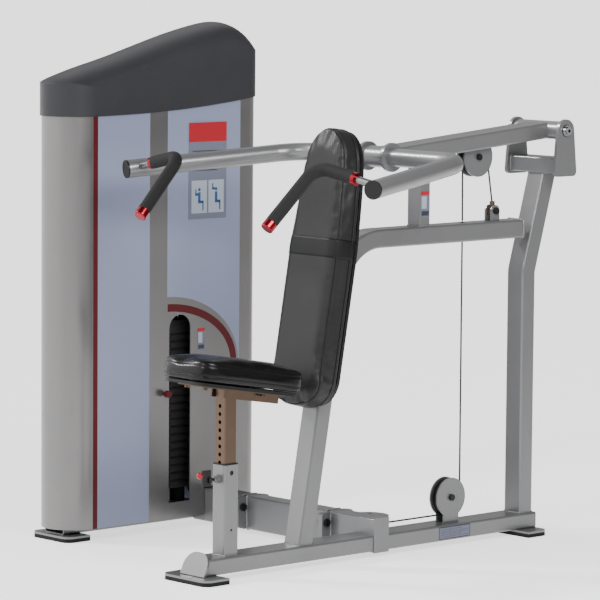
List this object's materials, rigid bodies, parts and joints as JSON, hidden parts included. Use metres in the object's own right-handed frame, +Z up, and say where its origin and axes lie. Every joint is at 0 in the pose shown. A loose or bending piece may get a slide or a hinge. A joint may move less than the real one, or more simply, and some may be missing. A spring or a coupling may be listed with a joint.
{
  "type": "shoulder press machine",
  "caption": "Seated shoulder press machine: padded seat and backrest, pivoting press arm with foam grips, cable and pulleys to a covered selector weight stack in a side tower.",
  "frame": {"origin": "on the floor, under the middle of the front foot of the user rail", "axes": "+Z up, the seated user looks along -Y, the weight tower stands on the -X side"},
  "size_m": [1.6452, 1.6842, 1.746],
  "materials": {
    "rubber": "matte black rubber",
    "frame_paint": "satin silver grey powder coat",
    "tower_paint": "satin silver paint",
    "black_plastic": "black plastic",
    "black_steel": "black oxide steel",
    "pulley_black": "black nylon",
    "red_knob": "glossy red plastic",
    "zinc": "zinc plated steel",
    "vinyl": "black vinyl",
    "band_vinyl": "plain dark vinyl band",
    "steel": "bright steel",
    "chrome": "polished chrome",
    "foam": "matte closed-cell foam",
    "red_anodised": "glossy red anodised",
    "cable": "black coated wire rope",
    "cast_plate": "black powder coat",
    "red_trim": "dark red paint",
    "panel": "pale blue grey satin sheet",
    "placard": "printed plastic sheet without wording",
    "cover": "satin black moulded plastic"
  },
  "bodies": {
    "frame": {"rubber_feet": "rubber", "foot_plates": "frame_paint", "base_rail": "frame_paint", "rail_rear_cap": "black_plastic", "beam_stub": "frame_paint", "cross_beam": "frame_paint", "tower_beam": "frame_paint", "frame_bolts": "black_steel", "seat_post": "frame_paint", "seat_post_bush": "black_plastic", "pull_pin_barrel": "frame_paint", "back_tube": "frame_paint", "rear_upright": "frame_paint", "stop_post": "frame_paint", "rubber_bumpers": "rubber", "pivot_head": "frame_paint", "pivot_axle": "steel", "pivot_bolt_heads": "chrome", "back_board": "black_plastic", "back_pad": "vinyl", "back_band": "band_vinyl", "pulley_brackets": "frame_paint", "anchor_fork": "zinc", "cable_main": "cable", "lower_plates": "cast_plate", "guide_rods": "chrome", "tower_frame": "frame_paint", "tower_silver": "tower_paint", "red_trim": "red_trim", "tower_panels": "panel", "placard": "placard", "top_cover": "cover", "cable_stack": "cable"},
    "press_arm": {"press_beam": "frame_paint", "arm_pulley_bolt": "black_steel", "yoke_collars": "frame_paint", "yoke_tube": "frame_paint", "yoke_end_caps": "black_plastic", "handle_bars": "steel", "foam_grips": "foam", "handle_rings": "red_anodised"},
    "arm_pulley": {"arm_pulley": "pulley_black"},
    "low_pulley": {"low_pulley": "pulley_black"},
    "beam_pulley": {"beam_pulley": "pulley_black"},
    "up_pulley": {"up_pulley": "pulley_black"},
    "top_pulley": {"top_pulley": "pulley_black"},
    "cable_loop": {"cable_loop": "cable"},
    "weight_carriage": {"upper_plates": "cast_plate", "stack_head": "cast_plate", "selector_rod": "steel"},
    "selector_pin": {"selector_pin": "steel", "selector_knob": "red_knob"},
    "seat": {"seat_inner_post": "zinc", "seat_carriage": "zinc", "seat_board": "black_plastic", "seat_pad": "vinyl"},
    "pull_pin": {"pull_pin": "black_steel", "pull_pin_ball": "red_knob"}
  },
  "joints": [
    {"name": "press_arm_pivot", "type": "hinge", "parent": "frame", "child": "press_arm", "pos_m": [0, 1.56, 1.391], "axis": [-1, 0, 0], "range_deg": [0, 30]},
    {"name": "cable_loop_rise", "type": "slide", "parent": "frame", "child": "cable_loop", "axis": [0, 0, 1], "range_m": [0, 0.1715], "deforming": ["cable_loop"]},
    {"name": "arm_pulley_spin", "type": "hinge", "parent": "press_arm", "child": "arm_pulley", "pos_m": [0, 1.239, 1.308], "axis": [-1, 0, 0], "range_deg": [0, 169.42]},
    {"name": "low_pulley_spin", "type": "hinge", "parent": "frame", "child": "low_pulley", "pos_m": [0, 1.128, 0.159], "axis": [1, 0, 0], "range_deg": [0, 338.84]},
    {"name": "beam_pulley_spin", "type": "hinge", "parent": "frame", "child": "beam_pulley", "pos_m": [-0.056, 0.814, 0.101], "axis": [0, 0, 1], "range_deg": [0, 350.94]},
    {"name": "up_pulley_spin", "type": "hinge", "parent": "frame", "child": "up_pulley", "pos_m": [-0.87, 0.758, 0.141], "axis": [0, 1, 0], "range_deg": [-491.31, 0]},
    {"name": "top_pulley_spin", "type": "hinge", "parent": "frame", "child": "top_pulley", "pos_m": [-0.91, 0.688, 1.56], "axis": [1, 0, 0], "range_deg": [-280.75, 0]},
    {"name": "weight_lift", "type": "slide", "parent": "frame", "child": "weight_carriage", "axis": [0, 0, 1], "range_m": [0, 0.343], "deforming": ["cable_stack"]},
    {"name": "selector_pin_pull", "type": "slide", "parent": "weight_carriage", "child": "selector_pin", "axis": [1, 0, 0], "range_m": [0, 0.14]},
    {"name": "seat_height", "type": "slide", "parent": "frame", "child": "seat", "axis": [0, 0, 1], "range_m": [-0.13, 0.052]},
    {"name": "pull_pin_slide", "type": "slide", "parent": "frame", "child": "pull_pin", "axis": [0, -1, 0], "range_m": [-0.01, 0.004], "stiffness_N_per_m": 1500, "springref_m": -0.012}
  ],
  "couplings": [
    {"joint": "cable_loop_rise", "follows": "press_arm_pivot", "m_per_rad": 0.32754},
    {"joint": "weight_lift", "follows": "press_arm_pivot", "m_per_rad": 0.65508},
    {"joint": "arm_pulley_spin", "follows": "press_arm_pivot", "ratio": 5.6473},
    {"joint": "low_pulley_spin", "follows": "press_arm_pivot", "ratio": 11.295},
    {"joint": "beam_pulley_spin", "follows": "press_arm_pivot", "ratio": 11.698},
    {"joint": "up_pulley_spin", "follows": "press_arm_pivot", "ratio": -16.377},
    {"joint": "top_pulley_spin", "follows": "press_arm_pivot", "ratio": -9.3583}
  ]
}
